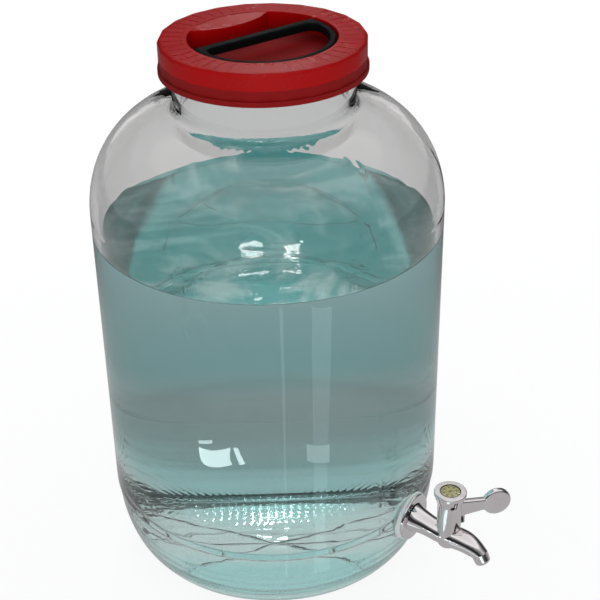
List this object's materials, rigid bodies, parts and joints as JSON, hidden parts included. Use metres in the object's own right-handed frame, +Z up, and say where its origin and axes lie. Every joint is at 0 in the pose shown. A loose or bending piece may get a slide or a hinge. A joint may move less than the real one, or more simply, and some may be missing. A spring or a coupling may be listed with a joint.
{
  "type": "carboy with spigot",
  "caption": "Clear glass carboy for holding and dispensing water, with a red screw lid, a folding carrying ring in the lid and a plated quarter-turn tap low on the wall.",
  "frame": {"origin": "centre of the foot, on the surface the jar stands on", "axes": "+Z up along the jar's axis, the tap points along -Y, +X to the right of the tap as seen from its outlet side"},
  "size_m": [0.28, 0.3548, 0.4543],
  "materials": {
    "clear_glass": "polished",
    "water": "clear",
    "lid_red": "satin",
    "handle_black": "satin",
    "white_rubber": "matte",
    "washer_white": "matte",
    "plated": "polished",
    "plug_brass": "machined",
    "seal_black": "matte",
    "screw_dark": "blackened",
    "button_yellow": "clear coated"
  },
  "bodies": {
    "vessel": {"jar": "clear_glass", "water": "water", "tap_body": "plated", "tap_outer_gasket": "white_rubber", "tap_inner_gasket": "white_rubber", "tap_slip_washer": "washer_white", "tap_back_nut": "plated", "tap_gland": "plug_brass"},
    "seal_ring": {"lid_seal": "white_rubber"},
    "screw_lid": {"lid": "lid_red"},
    "carrying_ring": {"lid_handle": "handle_black"},
    "tap_valve": {"valve_plug": "plug_brass", "plug_seal_lower": "seal_black", "plug_seal_upper": "seal_black", "tap_lever": "plated", "lever_screw": "screw_dark", "index_button": "button_yellow"}
  },
  "joints": [
    {"name": "lid_rise", "type": "slide", "parent": "vessel", "child": "seal_ring", "axis": [0, 0, 1], "range_m": [0, 0.0161]},
    {"name": "lid_turn", "type": "hinge", "parent": "seal_ring", "child": "screw_lid", "pos_m": [0, 0, 0.442], "axis": [0, 0, 1], "range_deg": [0, 720]},
    {"name": "handle_fold", "type": "hinge", "parent": "screw_lid", "child": "carrying_ring", "pos_m": [0.00254, 0.00759, 0.4502], "axis": [-0.9483, 0.3173, 0], "range_deg": [0, 105]},
    {"name": "lever_turn", "type": "hinge", "parent": "vessel", "child": "tap_valve", "pos_m": [0, -0.17612, 0.085], "axis": [0, 0, 1], "range_deg": [-90, 0]}
  ],
  "couplings": [
    {"joint": "lid_rise", "follows": "lid_turn", "m_per_rad": 0.0012732}
  ]
}
